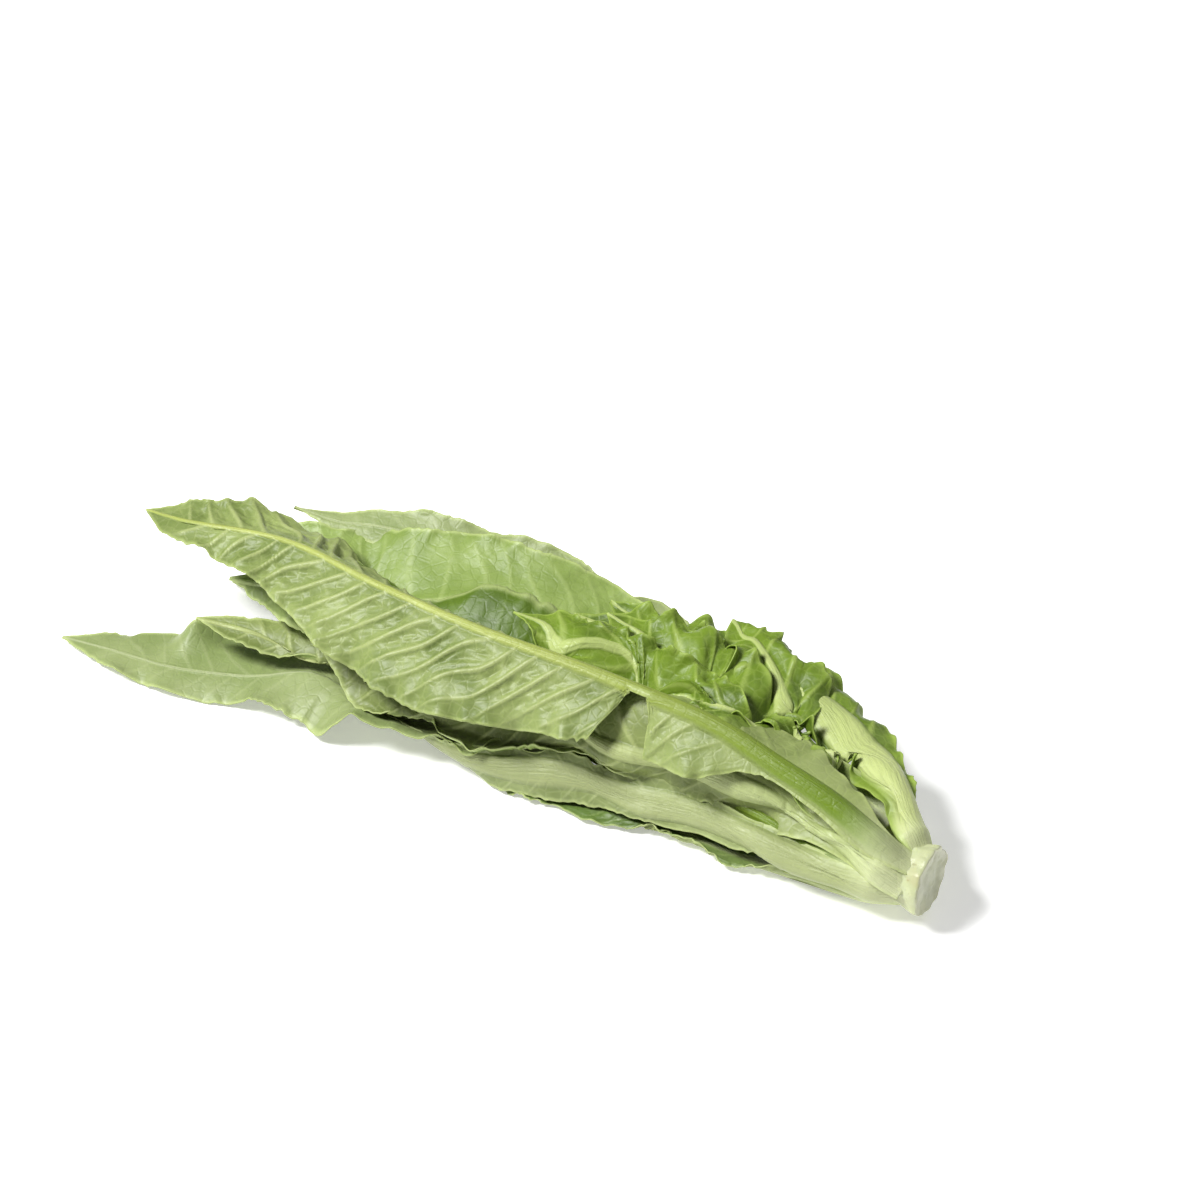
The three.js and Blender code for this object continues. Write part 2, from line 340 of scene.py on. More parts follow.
@dataclass(frozen=True)
class StemFinish:
    """Pale flesh of the stem, brownish where it was cut and where leaves came off."""

    name: str = "stem"
    slot: str = "stem"
    flesh: Triple = (0.47, 0.49, 0.33)
    pale: Triple = (0.60, 0.62, 0.46)
    skin: Triple = (0.46, 0.51, 0.27)
    stain: Triple = (0.36, 0.25, 0.09)

    def material(self) -> bpy.types.Material:
        """Builds the stem's material.

        Returns:
            The material.
        """
        shader = Shader(self.name)
        place = shader.node("TexCoord").outputs["Object"]
        cut, scar, *_ = shader.dressing()
        mottle = shader.ramp(shader.noise(place, 160.0, 4.0, 0.6), 0.35, 0.7)
        specks = shader.ramp(shader.noise(place, 620.0, 3.0, 0.7), 0.6, 0.74)
        colour = shader.mix(mottle, self.pale, self.flesh)
        colour = shader.mix((1.0 - cut) * 0.8, colour, self.skin)
        colour = shader.mix(scar * (0.25 + specks * 0.6), colour, self.stain)
        height = mottle * 0.5 + specks * 0.5
        bump = shader.node("Bump", None, Strength=0.6, Distance=0.0008, Height=height)
        return shader.surface(
            Base_Color=colour,
            Roughness=0.42 + specks * 0.25,
            Normal=bump.outputs[0],
            Subsurface_Weight=0.2,
            Subsurface_Radius=(1.0, 1.0, 0.5),
            Subsurface_Scale=0.004,
        )


PALE_BACK = LeafFinish(
    "pale_back", "leaf_back", blade=(0.235, 0.29, 0.095), deep=(0.115, 0.16, 0.036),
    vein=(0.35, 0.40, 0.165), rib=(0.35, 0.40, 0.10), stalk=(0.11, 0.19, 0.002), rim=(0.38, 0.45, 0.16),
    vein_show=0.65,
)
GREY_BACK = LeafFinish(
    "grey_back", "leaf_back", blade=(0.20, 0.245, 0.075), deep=(0.11, 0.145, 0.035),
    vein=(0.33, 0.38, 0.15), rib=(0.34, 0.39, 0.15),
)
STALK_BACK = LeafFinish(
    "stalk_back", "leaf_back", blade=(0.24, 0.29, 0.11), deep=(0.15, 0.19, 0.06), vein=(0.36, 0.41, 0.19),
    rib=(0.30, 0.34, 0.15), stalk=(0.36, 0.41, 0.18),
)
# Backs painted dark as painted shade, for leaves in the top leaf's shadow and in the gap between the near
# leaves; their ribs and stalks keep a pale green.
PAINTED_SHADE_BACK = LeafFinish(
    "painted_shade_back", "leaf_back", blade=(0.15, 0.20, 0.055), deep=(0.09, 0.13, 0.03), vein=(0.26, 0.32, 0.12),
    rib=(0.36, 0.43, 0.18), stalk=(0.34, 0.41, 0.16),
)
PALE_FACE = LeafFinish(
    "pale_face", "leaf_outer", blade=(0.26, 0.31, 0.13), deep=(0.185, 0.24, 0.08),
    vein=(0.35, 0.40, 0.20), rib=(0.35, 0.40, 0.20), vein_show=0.3,
)
SMOOTH_FACE = LeafFinish(
    "smooth_face", "leaf_outer", blade=(0.235, 0.315, 0.085), deep=(0.15, 0.22, 0.04),
    vein=(0.32, 0.40, 0.14), rib=(0.36, 0.44, 0.17), vein_show=0.4,
)
# Face of the far leaf under the top leaf's rib: its own darker green, darkened further as painted shade.
DARK_GREEN_SHADED_FACE = LeafFinish(
    "dark_green_shaded_face", "leaf_outer", blade=(0.085, 0.145, 0.01), deep=(0.05, 0.09, 0.006),
    vein=(0.14, 0.21, 0.04), rib=(0.26, 0.34, 0.09), vein_show=0.4,
)
# Face of the lowest leaves: their own darker green, and partly painted shade for lying under the others.
DARK_FACE = LeafFinish(
    "dark_face", "leaf_outer", blade=(0.13, 0.20, 0.045), deep=(0.07, 0.12, 0.02),
    vein=(0.22, 0.30, 0.09), rib=(0.40, 0.47, 0.21),
)
BRIGHT_HEART = LeafFinish(
    "bright_heart", "leaf_heart", blade=(0.15, 0.235, 0.02), deep=(0.055, 0.10, 0.006),
    vein=(0.30, 0.39, 0.09), rib=(0.40, 0.48, 0.16), stalk=(0.52, 0.59, 0.24), rim=(0.36, 0.48, 0.10),
)


# ---- Number helpers -----------------------------------------------------------------------------


def soft_step(low: float, high: float, value: np.ndarray | float) -> np.ndarray:
    """A step from 0 to 1 with soft ends.

    Args:
        low: where it starts.
        high: where it ends.
        value: where to read it.

    Returns:
        The step's value.
    """
    share = np.clip((np.asarray(value, float) - low) / (high - low), 0.0, 1.0)
    return share * share * (3.0 - 2.0 * share)


def read_evenly(values: Sequence[float], share: np.ndarray) -> np.ndarray:
    """Reads a smooth curve through evenly spaced values.

    Args:
        values: the values, from share 0 to share 1.
        share: where to read.

    Returns:
        The curve's values.
    """
    known = np.asarray(values, float)
    if len(known) == 1:
        return np.full_like(share, known[0])
    padded = np.concatenate([[2 * known[0] - known[1]], known, [2 * known[-1] - known[-2]]])
    place = np.clip(share, 0.0, 1.0) * (len(known) - 1)
    index = np.minimum(place.astype(int), len(known) - 2)
    t = place - index
    a, b, c, d = (padded[index + i] for i in range(4))
    return 0.5 * (2 * b + (c - a) * t + (2 * a - 5 * b + 4 * c - d) * t**2 + (3 * b - a - 3 * c + d) * t**3)


def read_line(place: np.ndarray, ticks: np.ndarray, line: np.ndarray) -> np.ndarray:
    """Reads a line of points, or of directions, at each place."""
    return np.stack([np.interp(place, ticks, line[:, k]) for k in range(3)], axis=1)


def wander(length: np.ndarray, wave: float, rng: np.random.Generator) -> np.ndarray:
    """A smooth random line of about unit height.

    Args:
        length: where to read it.
        wave: its usual wavelength.
        rng: where its chances come from.

    Returns:
        The line's values.
    """
    total = np.zeros_like(length)
    for stretch in (0.62, 0.83, 1.0, 1.31, 1.75):
        total += math.sqrt(stretch) * np.sin(2 * math.pi * (length / (wave * stretch) + rng.random()))
    return total / 2.6


def lattice_noise(x: np.ndarray, y: np.ndarray, rng: np.random.Generator) -> np.ndarray:
    """Smooth random hills, one to a unit square, from -1 to 1.

    Args:
        x: first coordinate.
        y: second coordinate.
        rng: where its chances come from.

    Returns:
        The hills' heights.
    """
    column, row = np.floor(x).astype(int), np.floor(y).astype(int)
    column0, row0 = column.min(), row.min()
    heights = rng.uniform(-1, 1, (column.max() - column0 + 2, row.max() - row0 + 2))
    fx, fy = x - column, y - row
    fx, fy = fx * fx * (3 - 2 * fx), fy * fy * (3 - 2 * fy)
    i, j = column - column0, row - row0
    low = heights[i, j] * (1 - fx) + heights[i + 1, j] * fx
    high = heights[i, j + 1] * (1 - fx) + heights[i + 1, j + 1] * fx
    return low * (1 - fy) + high * fy


def cell_domes(x: np.ndarray, y: np.ndarray, rng: np.random.Generator) -> np.ndarray:
    """Rounded domes in irregular cells, one to a unit square, that meet in creases.

    Args:
        x: first coordinate.
        y: second coordinate.
        rng: where its chances come from.

    Returns:
        Zero in a crease, up to 1 on a dome.
    """
    column, row = np.floor(x).astype(int), np.floor(y).astype(int)
    column0, row0 = column.min() - 1, row.min() - 1
    shape = (column.max() - column0 + 2, row.max() - row0 + 2)
    centre_x, centre_y = rng.uniform(0.15, 0.85, shape), rng.uniform(0.15, 0.85, shape)
    nearest = np.full_like(x, 9.0)
    second = np.full_like(x, 9.0)
    for step_x in (-1, 0, 1):
        for step_y in (-1, 0, 1):
            i, j = column + step_x - column0, row + step_y - row0
            away = np.hypot(column + step_x + centre_x[i, j] - x, row + step_y + centre_y[i, j] - y)
            second = np.minimum(second, np.maximum(nearest, away))
            nearest = np.minimum(nearest, away)
    return np.clip((second - nearest) * 1.6, 0.0, 1.0) ** 0.8


# ---- Leaves -------------------------------------------------------------------------------------


@dataclass(frozen=True)
class LeafPlan:
    """One leaf: the route of its midrib, how it turns, its width and the life in its blade.

    A list runs from stalk to tip in even steps. Facing is where the leaf's back looks, in degrees: 0 is up,
    90 is the near side and 180 is down. The first of each pair of sides is the near or lower one of a leaf
    that shows its back, and the far one of a leaf that shows its face.
    """

    name: str
    route: tuple[Triple, ...]
    facing: Table
    widths: tuple[Table, Table]
    bends: tuple[Table, Table] = ((15.0,), (15.0,))
    folds: tuple[Table, Table] = ((0.0,), (0.0,))
    rolls: tuple[Table, Table] = ((0.0,), (0.0,))
    finish: LeafFinish = PALE_BACK
    face_finish: LeafFinish = SMOOTH_FACE
    stalk_width: float = 19.0
    stalk_height: float = 5.5
    ruffle: float = 3.0
    ruffle_wave: float = 42.0
    frill: float = 0.9
    frill_wave: float = 13.0
    blister: float = 1.1
    crumple: float = 0.0
    crumple_size: float = 24.0
    tooth: float = 0.9
    vein_gap: float = 12.0
    rows: int = 300
    columns: int = 80
    seed: int = 1
    stiff: float = 0.0
    stalk_taper: float = 1.9
    tears: tuple[tuple[int, float, float, float], ...] = ()  # side, place along, half its span, depth share


TIP_HALF_WIDTH = 0.5
BLADE = 0.45
RIB_TIP = 1.0
ROLL_START = 0.72
FOLD_END = 0.22
SPREAD = 1.12  # above 1 crowds the grid towards the midrib
UNEVEN_WAVE, TOOTH_WAVE, NOTCH_WAVE = 60.0, 9.0, 31.0
RELIEF_START, RELIEF_FULL, TIP_FADE = 0.12, 0.35, 0.9
VEIN_SLANT, VEIN_CURVE, VEIN_HALF_WIDTH, VEIN_HEIGHT = 0.75, 0.006, 0.7, 0.7
DOME_WIDTH, SMALL_DOME_WIDTH = 15.0, 5.5
# The band along each margin that the materials lighten as a painted highlight.
RIM_START, RIM_WIDTH = 0.3, 1.7
TABLE_GAP = 0.35


class LeafShape:
    """Works out where a leaf's surface lies, on a grid of any fineness."""

    def __init__(self, plan: LeafPlan, cut_face: Vector) -> None:
        """Prepares the midrib.

        Args:
            plan: the leaf's plan.
            cut_face: middle of the stem's cut face, at the height of the table, in metres.
        """
        self.plan = plan
        self.cut_face = cut_face
        self.points, self.length = self._midrib()

    def _midrib(self) -> tuple[np.ndarray, float]:
        """A fine, evenly spaced line through the route.

        Returns:
            The line's points and its length, in millimetres.
        """
        route = np.array([(-x, y, z) for x, y, z in self.plan.route], float)
        gaps = np.linalg.norm(np.diff(route, axis=0), axis=1) ** 0.5
        knots = np.concatenate([[0], np.cumsum(gaps)])
        ahead = route[1] - route[0]
        behind = route[-1] - route[-2]
        route = np.vstack([route[0] - ahead, route, route[-1] + behind])
        knots = np.concatenate([[-gaps[0]], knots, [knots[-1] + gaps[-1]]])
        pieces = []
        for i in range(1, len(route) - 2):
            t = np.linspace(knots[i], knots[i + 1], 40, endpoint=False)[:, None]
            pieces.append(self._knot_curve(route[i - 1 : i + 3], knots[i - 1 : i + 3], t))
        fine = np.vstack([*pieces, route[-2][None]])
        for _ in range(6):
            fine[1:-1] = (fine[:-2] + 2 * fine[1:-1] + fine[2:]) / 4
        reached = np.concatenate([[0], np.cumsum(np.linalg.norm(np.diff(fine, axis=0), axis=1))])
        even = np.linspace(0, reached[-1], 400)
        return read_line(even, reached, fine), reached[-1]

    @staticmethod
    def _knot_curve(p: np.ndarray, k: np.ndarray, t: np.ndarray) -> np.ndarray:
        """One span of a centripetal curve.

        Args:
            p: four route points.
            k: their knots.
            t: where to read, between the middle two knots.

        Returns:
            The span's points.
        """
        a = [((k[i + 1] - t) * p[i] + (t - k[i]) * p[i + 1]) / (k[i + 1] - k[i]) for i in range(3)]
        b = [((k[i + 2] - t) * a[i] + (t - k[i]) * a[i + 1]) / (k[i + 2] - k[i]) for i in range(2)]
        return ((k[2] - t) * b[0] + (t - k[1]) * b[1]) / (k[2] - k[1])

    def frames(self, share: np.ndarray) -> tuple[np.ndarray, ...]:
        """Midrib points and directions.

        Args:
            share: places along the leaf.

        Returns:
            Points, the back's direction and the first side's direction.
        """
        place = share * (len(self.points) - 1)
        ticks = np.arange(len(self.points))
        middle = read_line(place, ticks, self.points)
        onward = read_line(place, ticks, np.gradient(self.points, axis=0))
        onward /= np.linalg.norm(onward, axis=1, keepdims=True)
        up = np.array([0.0, 0.0, 1.0]) - onward * onward[:, 2:3]
        up /= np.linalg.norm(up, axis=1, keepdims=True)
        near = np.cross(up, onward)
        turn = np.radians(read_evenly(self.plan.facing, share))[:, None]
        back = np.cos(turn) * up + np.sin(turn) * near
        return middle, back, np.cross(back, onward)

    def half_width(self, side: int, share: np.ndarray, rng: np.random.Generator) -> np.ndarray:
        """Half-width of one side, with its fine teeth.

        Args:
            side: 0 or 1.
            share: places along the leaf.
            rng: where its chances come from.

        Returns:
            Half-widths in millimetres.
        """
        plan = self.plan
        table = plan.widths[side]
        smooth = read_evenly(table, share)
        along = share * self.length
        uneven = 0.6 + 0.6 * wander(along, UNEVEN_WAVE, rng)
        bite = np.abs(wander(along, TOOTH_WAVE, rng)) * uneven + 0.8 * wander(along, NOTCH_WAVE, rng)
        toothed = smooth - plan.tooth * bite * soft_step(0.06, 0.25, share)
        for torn_side, centre, span, depth in plan.tears:
            if torn_side == side:
                torn = np.clip(1.5 - 1.5 * np.abs(along - centre) / span, 0.0, 1.0)
                toothed = toothed * (1.0 - depth * torn)
        tip = np.sqrt(np.clip((1.0 - share) / 0.05, 0.0, 1.0))
        return np.maximum(toothed * tip, TIP_HALF_WIDTH)

    def surface(
        self, rows: int, columns: int, shift: np.ndarray | None, fine: bool
    ) -> dict[str, np.ndarray]:
        """The whole leaf on a grid.

        Args:
            rows: cells along the leaf.
            columns: cells across it, an even number.
            shift: how pressing against the other leaves moved a coarse grid, if it has been found.
            fine: whether veins, blisters and frills are added.

        Returns:
            Points, thickness, dressing layers and flat coordinates, by name.
        """
        plan = self.plan
        rng = np.random.default_rng(plan.seed)
        share = np.linspace(0.0, 1.0, rows + 1)
        middle, back, side_way = self.frames(share)
        half = columns // 2
        place = np.linspace(0, 1, half + 1) ** SPREAD
        sides = []
        for side, sign in ((1, -1.0), (0, 1.0)):
            width = self.half_width(side, share, rng)[:, None]
            bend = np.radians(read_evenly(plan.bends[side], share))[:, None]
            roll = np.radians(read_evenly(plan.rolls[side], share))[:, None]
            fold = np.radians(read_evenly(plan.folds[side], share))[:, None]
            angle = fold * soft_step(0.0, FOLD_END, place) + bend * place**1.3
            angle = angle + roll * soft_step(ROLL_START, 1.0, place) ** 0.8
            step = np.diff(place)[None, :] * width
            mid_angle = (angle[:, 1:] + angle[:, :-1]) / 2
            start = np.zeros((rows + 1, 1))
            reach = np.concatenate([start, np.cumsum(np.cos(mid_angle) * step, axis=1)], axis=1)
            drop = np.concatenate([start, np.cumsum(np.sin(mid_angle) * step, axis=1)], axis=1)
            point = middle[:, None, :] + sign * reach[:, :, None] * side_way[:, None, :]
            point = point - drop[:, :, None] * back[:, None, :]
            normal = (
                np.cos(angle)[:, :, None] * back[:, None, :]
                + sign * np.sin(angle)[:, :, None] * side_way[:, None, :]
            )
            layer = self._relief(side, share, place, width, rng, fine)
            point = point + normal * layer["lift"][:, :, None]
            sides.append((point, normal, layer, width * place))
        first, second = sides
        merged = {
            "point": np.concatenate([first[0][:, ::-1], second[0][:, 1:]], axis=1),
            "normal": np.concatenate([first[1][:, ::-1], second[1][:, 1:]], axis=1),
            "across": np.concatenate([-first[3][:, ::-1], second[3][:, 1:]], axis=1),
        }
        for key in first[2]:
            merged[key] = np.concatenate([first[2][key][:, ::-1], second[2][key][:, 1:]], axis=1)
        merged["along"] = np.repeat(share[:, None], columns + 1, axis=1)
        if shift is not None:
            merged["point"] = merged["point"] + spread_shift(shift, rows, columns, place)
        return merged

    def _relief(
        self,
        side: int,
        share: np.ndarray,
        place: np.ndarray,
        width: np.ndarray,
        rng: np.random.Generator,
        fine: bool,
    ) -> dict[str, np.ndarray]:
        """Veins, blisters, ruffles and thickness of one side.

        Args:
            side: 0 or 1.
            share: places along the leaf.
            place: places across, from the midrib to the margin.
            width: half-width at each place along.
            rng: where its chances come from.
            fine: whether the fine detail is added.

        Returns:
            The height added to the surface, its thickness and its dressing layers.
        """
        plan = self.plan
        along = (share * self.length)[:, None]
        across = place[None, :] * width
        body = soft_step(RELIEF_START, RELIEF_FULL, share)[:, None]
        tip = 1.0 - soft_step(TIP_FADE, 1.0, share)[:, None]
        edge = place[None, :] ** 2.2
        wide = soft_step(5.0, 14.0, width)
        lift = plan.ruffle * wander(along + 0.25 * across, plan.ruffle_wave, rng) * edge * wide
        size = plan.crumple_size
        crumple = lattice_noise(along / size + 0.35 * across / size, across / (0.8 * size), rng)
        finer = lattice_noise(along / (0.42 * size), across / (0.36 * size), rng)
        lift = lift + plan.crumple * (crumple + 0.38 * finer) * soft_step(2.0, 10.0, across) * wide

        rib_half = rib_half_width(plan, share)[:, None]
        rib_high = rib_height(plan, share)[:, None]
        inside = np.clip(1.0 - (across / rib_half) ** 2, 0.0, 1.0)
        thickness = BLADE + rib_high * inside**0.75
        rib = np.clip(1.15 - across / rib_half, 0.0, 1.0)
        layers = {"lift": lift, "thickness": thickness, "rib": rib}
        vein = np.zeros_like(across)
        if fine:
            jitter = 0.22 * plan.vein_gap * wander(along, plan.vein_gap * 3.1, rng)
            sweep = VEIN_SLANT * across + VEIN_CURVE * across**2
            phase = (along - sweep + jitter) / plan.vein_gap + 0.5 * side
            distance = np.abs(phase - np.round(phase)) * plan.vein_gap * VEIN_SLANT
            strength = body * tip * np.clip(1.0 - place[None, :] ** 2 * 0.75, 0, 1)
            lateral = np.exp(-((distance / VEIN_HALF_WIDTH) ** 2)) * strength
            domes = cell_domes(phase + 40.0, across / DOME_WIDTH + 0.3 * phase + 40.0, rng)
            small = cell_domes(phase * 2.3 + 40.0, across / SMALL_DOME_WIDTH + 40.0, rng)
            panel = np.abs(np.sin(math.pi * phase)) ** 0.5
            grown = 0.35 + 0.65 * soft_step(1.0, 7.0, across - rib_half)
            off_rib = soft_step(0.9, 1.1, across / rib_half) * grown
            room = off_rib * body * tip * (1.0 - 0.45 * place[None, :] ** 3)
            blister = (0.72 * panel * (0.45 + 0.55 * domes) + 0.28 * small * panel) * room
            uneven = 0.75 + 0.6 * lattice_noise(along / 27.0, across / 14.0, rng)
            lift -= plan.blister * blister * uneven
            frill = wander(along + 0.4 * across, plan.frill_wave, rng)
            lift += plan.frill * frill * place[None, :] ** 5 * wide
            thickness += VEIN_HEIGHT * lateral * off_rib
            vein = np.clip(lateral * 1.1 + (1.0 - domes) ** 3 * 0.45 * room, 0.0, 1.0)
        layers["vein"] = vein
        # The margin band, lightened in the materials as a painted highlight.
        layers["rim"] = 1.0 - soft_step(RIM_START, RIM_WIDTH, (1.0 - place[None, :]) * width)
        return layers


def rib_half_width(plan: LeafPlan, share: np.ndarray) -> np.ndarray:
    """Half-width of the raised midrib along a leaf, in millimetres."""
    return RIB_TIP + (plan.stalk_width / 2 - RIB_TIP) * (1.0 - np.asarray(share)) ** plan.stalk_taper


def rib_height(plan: LeafPlan, share: np.ndarray) -> np.ndarray:
    """How far the midrib stands out of the back along a leaf, in millimetres."""
    grown = soft_step(0.0, 0.05, share)
    return grown * (0.35 + (plan.stalk_height - 0.35) * (1.0 - np.asarray(share)) ** 1.5)


def spread_shift(shift: np.ndarray, rows: int, columns: int, place: np.ndarray) -> np.ndarray:
    """Brings a coarse grid's shift to a finer grid.

    Args:
        shift: the shift of each coarse point.
        rows: cells along the fine grid.
        columns: cells across the fine grid.
        place: the fine grid's places from the midrib to a margin.

    Returns:
        The shift of each fine point.
    """
    coarse_rows, coarse_columns = shift.shape[0] - 1, shift.shape[1] - 1
    half_places = np.linspace(0, 1, coarse_columns // 2 + 1) ** SPREAD
    coarse_across = np.concatenate([-half_places[::-1], half_places[1:]])
    fine_across = np.concatenate([-place[::-1], place[1:]])
    coarse_along = np.linspace(0, 1, coarse_rows + 1)
    fine_along = np.linspace(0, 1, rows + 1)
    part = np.empty((rows + 1, coarse_columns + 1, 3))
    for j in range(coarse_columns + 1):
        for k in range(3):
            part[:, j, k] = np.interp(fine_along, coarse_along, shift[:, j, k])
    whole = np.empty((rows + 1, columns + 1, 3))
    for i in range(rows + 1):
        for k in range(3):
            whole[i, :, k] = np.interp(fine_across, coarse_across, part[i, :, k])
    return whole


# ---- Pressing the leaves together ---------------------------------------------------------------


@dataclass
class Press:
    """Pushes leaves off each other and off the table, as their own stiffness does."""

    shapes: list[LeafShape]
    rounds: int = 26
    rows: int = 44
    columns: int = 14
    near_enough: float = 14.0
    clearance: float = 0.7
    held_share: float = 0.1

    def run(self) -> list[np.ndarray]:
        """Settles the leaves.

        Returns:
            The shift of each leaf's coarse grid, in millimetres.
        """
        grids = [shape.surface(self.rows, self.columns, None, False) for shape in self.shapes]
        start = [grid["point"].copy() for grid in grids]
        points = [grid["point"].copy() for grid in grids]
        thick = [grid["thickness"] for grid in grids]
        sides = self._sides(points)
        held = soft_step(0.0, self.held_share, np.linspace(0, 1, self.rows + 1))[:, None, None]
        for _ in range(self.rounds):
            trees = [self._tree(p) for p in points]
            pushes = [np.zeros_like(p) for p in points]
            for (a, b), side in sides.items():
                self._push(points[a], thick[a], thick[b], trees[b], side, pushes[a])
            for a, push in enumerate(pushes):
                push = self._smooth(push) * held * (1.0 - self.shapes[a].plan.stiff)
                points[a] = points[a] + push
                under = np.minimum(points[a][..., 2] - 0.5, 0.0)
                points[a][..., 2] -= under
        return [self._smooth(p - s) for p, s in zip(points, start)]

    def _tree(self, points: np.ndarray) -> BVHTree:
        """A search tree over a coarse grid's cells."""
        rows, columns = points.shape[0] - 1, points.shape[1] - 1
        at = np.arange((rows + 1) * (columns + 1)).reshape(rows + 1, columns + 1)
        faces = np.stack([at[:-1, :-1], at[1:, :-1], at[1:, 1:], at[:-1, 1:]], axis=-1).reshape(-1, 4)
        return BVHTree.FromPolygons(points.reshape(-1, 3).tolist(), faces.tolist())

    def _sides(self, points: list[np.ndarray]) -> dict[tuple[int, int], float]:
        """Which side of each neighbour a leaf lies on, as the routes put it.

        Args:
            points: every leaf's coarse grid.

        Returns:
            For each pair that comes close, +1 behind the neighbour's back and -1 inside it.
        """
        found = {}
        trees = [self._tree(p) for p in points]
        for a, own in enumerate(points):
            for b, tree in enumerate(trees):
                if a == b:
                    continue
                total, count = 0.0, 0
                for co in own[6::2, ::2].reshape(-1, 3):
                    spot, normal, _, away = tree.find_nearest(Vector(co), self.near_enough)
                    if spot is not None and away > 1e-6:
                        height = (Vector(co) - spot).dot(normal)
                        total += height / (2.0 + away)
                        count += 1
                if count > 4:
                    found[(a, b)] = 1.0 if total > 0 else -1.0
        return found

    def _push(
        self,
        own: np.ndarray,
        own_thick: np.ndarray,
        other_thick: np.ndarray,
        tree: BVHTree,
        side: float,
        push: np.ndarray,
    ) -> None:
        """Adds one neighbour's pushes to a leaf.

        Args:
            own: the leaf's points.
            own_thick: its thickness.
            other_thick: the neighbour's thickness.
            tree: the neighbour's search tree.
            side: which side of the neighbour the leaf belongs on.
            push: the pushes so far, which this adds to.
        """
        columns = own.shape[1]
        flat_thick = other_thick.reshape(-1)
        cells = self.columns
        for i in range(4, own.shape[0]):
            for j in range(columns):
                spot, normal, index, away = tree.find_nearest(Vector(own[i, j]), self.near_enough)
                if spot is None:
                    continue
                height = (Vector(own[i, j]) - spot).dot(normal) * side
                if abs(height) < 0.4 * away:
                    continue
                row, column = divmod(index, cells)
                beneath = flat_thick[row * columns + column] if side > 0 else 0.0
                wanted = self.clearance + max(beneath, 0.0) + (own_thick[i, j] if side < 0 else 0.3)
                if height < wanted:
                    amount = min((wanted - height) * 0.5, 3.0) * side
                    step = np.array(normal) * amount
                    if np.dot(step, step) > np.dot(push[i, j], push[i, j]):
                        push[i, j] = step

    @staticmethod
    def _smooth(push: np.ndarray) -> np.ndarray:
        """Spreads pushes over the neighbouring points."""
        for _ in range(2):
            padded = np.pad(push, ((1, 1), (1, 1), (0, 0)), mode="edge")
            total = 2 * padded[1:-1, 1:-1] + padded[:-2, 1:-1] + padded[2:, 1:-1]
            push = (total + padded[1:-1, :-2] + padded[1:-1, 2:]) / 6
        return push


# ---- Meshes -------------------------------------------------------------------------------------


def deselect_all() -> None:
    """Clears the selection, so that an operator acts on the new piece alone."""
    for thing in bpy.context.selected_objects:
        thing.select_set(False)


def pick(piece: bpy.types.Object) -> None:
    """Selects one piece alone and makes it active."""
    deselect_all()
    piece.select_set(True)
    bpy.context.view_layer.objects.active = piece


def new_grid(name: str, rows: int, columns: int) -> bpy.types.Object:
    """Adds a flat grid to be shaped.

    Args:
        name: the piece's name.
        rows: cells along its first direction.
        columns: cells along its second direction.

    Returns:
        The grid, whose points run along the rows first.
    """
    deselect_all()
    bpy.ops.mesh.primitive_grid_add(x_subdivisions=columns, y_subdivisions=rows, size=1.0)
    piece = bpy.context.object
    piece.name = name
    piece.data.name = name
    return piece


def apply_modifier(piece: bpy.types.Object, name: str) -> None:
    """Applies one modifier to a piece.

    Args:
        piece: the piece.
        name: the modifier's name.
    """
    pick(piece)
    bpy.ops.object.modifier_apply(modifier=name)


def paint(mesh: bpy.types.Mesh, layers: np.ndarray) -> None:
    """Stores the dressing layers on the mesh's points.

    Args:
        mesh: the mesh.
        layers: four values for each point.
    """
    colours = mesh.color_attributes.new(DRESS, "FLOAT_COLOR", "POINT")
    colours.data.foreach_set("color", layers.astype(np.float32).ravel())


def smooth_and_place(piece: bpy.types.Object, node: str) -> None:
    """Shades a piece smooth, hides the CAD node that it replaces and hangs the piece on the body.

    Args:
        piece: the finished piece.
        node: the CAD node that it replaces.
    """
    pick(piece)
    bpy.ops.object.shade_smooth()
    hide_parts(node)
    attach(piece, BODY)


